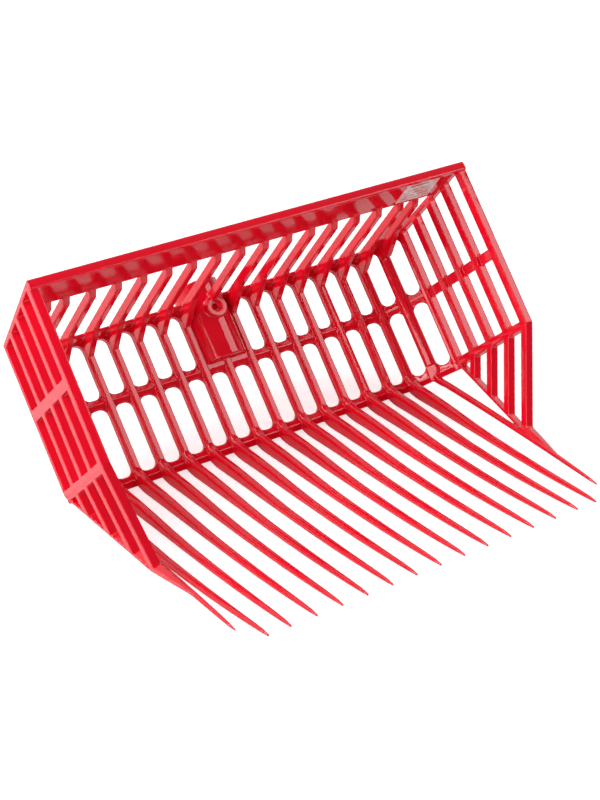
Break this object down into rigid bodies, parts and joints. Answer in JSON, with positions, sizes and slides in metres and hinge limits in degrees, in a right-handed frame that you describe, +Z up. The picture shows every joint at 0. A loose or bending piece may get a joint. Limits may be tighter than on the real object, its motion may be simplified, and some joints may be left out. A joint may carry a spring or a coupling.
{
  "type": "manure fork head",
  "caption": "Moulded plastic basket fork head with a row of long tines, slotted back, sides and hood, and a round socket for a handle.",
  "frame": {"origin": "on the floor under the middle of the whole head", "axes": "+X across the head to the right seen from the tips, +Y from the tips towards the socket, +Z up from the floor that the tines lie on"},
  "size_m": [0.3954, 0.3238, 0.1934],
  "materials": {
    "red_plastic": "glossy moulded polycarbonate",
    "label_film": "thin blank film label"
  },
  "bodies": {
    "root": {"back_panel": "red_plastic", "heel_bar": "red_plastic", "top_rail": "red_plastic", "handle_socket": "red_plastic", "label": "label_film", "corner_panel_left": "red_plastic", "corner_panel_right": "red_plastic", "side_panel_left": "red_plastic", "side_panel_right": "red_plastic", "side_skirt_left": "red_plastic", "side_skirt_right": "red_plastic", "front_post_left": "red_plastic", "front_post_right": "red_plastic", "crease_bar_left": "red_plastic", "crease_bar_right": "red_plastic", "crease_corner_left": "red_plastic", "crease_corner_right": "red_plastic", "tine_01": "red_plastic", "tine_02": "red_plastic", "tine_03": "red_plastic", "tine_04": "red_plastic", "tine_05": "red_plastic", "tine_06": "red_plastic", "tine_07": "red_plastic", "tine_08": "red_plastic", "tine_09": "red_plastic", "tine_10": "red_plastic", "tine_11": "red_plastic", "tine_12": "red_plastic", "tine_13": "red_plastic", "tine_14": "red_plastic", "tine_15": "red_plastic", "tine_16": "red_plastic", "tine_17": "red_plastic", "hood_slat_01": "red_plastic", "hood_slat_02": "red_plastic", "hood_slat_03": "red_plastic", "hood_slat_04": "red_plastic", "hood_slat_05": "red_plastic", "hood_slat_06": "red_plastic", "hood_slat_07": "red_plastic", "hood_slat_08": "red_plastic", "hood_slat_09": "red_plastic", "hood_slat_10": "red_plastic", "hood_slat_11": "red_plastic", "hood_slat_12": "red_plastic", "hood_slat_13": "red_plastic", "hood_slat_14": "red_plastic", "hood_slat_15": "red_plastic", "hood_slat_16": "red_plastic", "hood_slat_17": "red_plastic"}
  },
  "joints": []
}
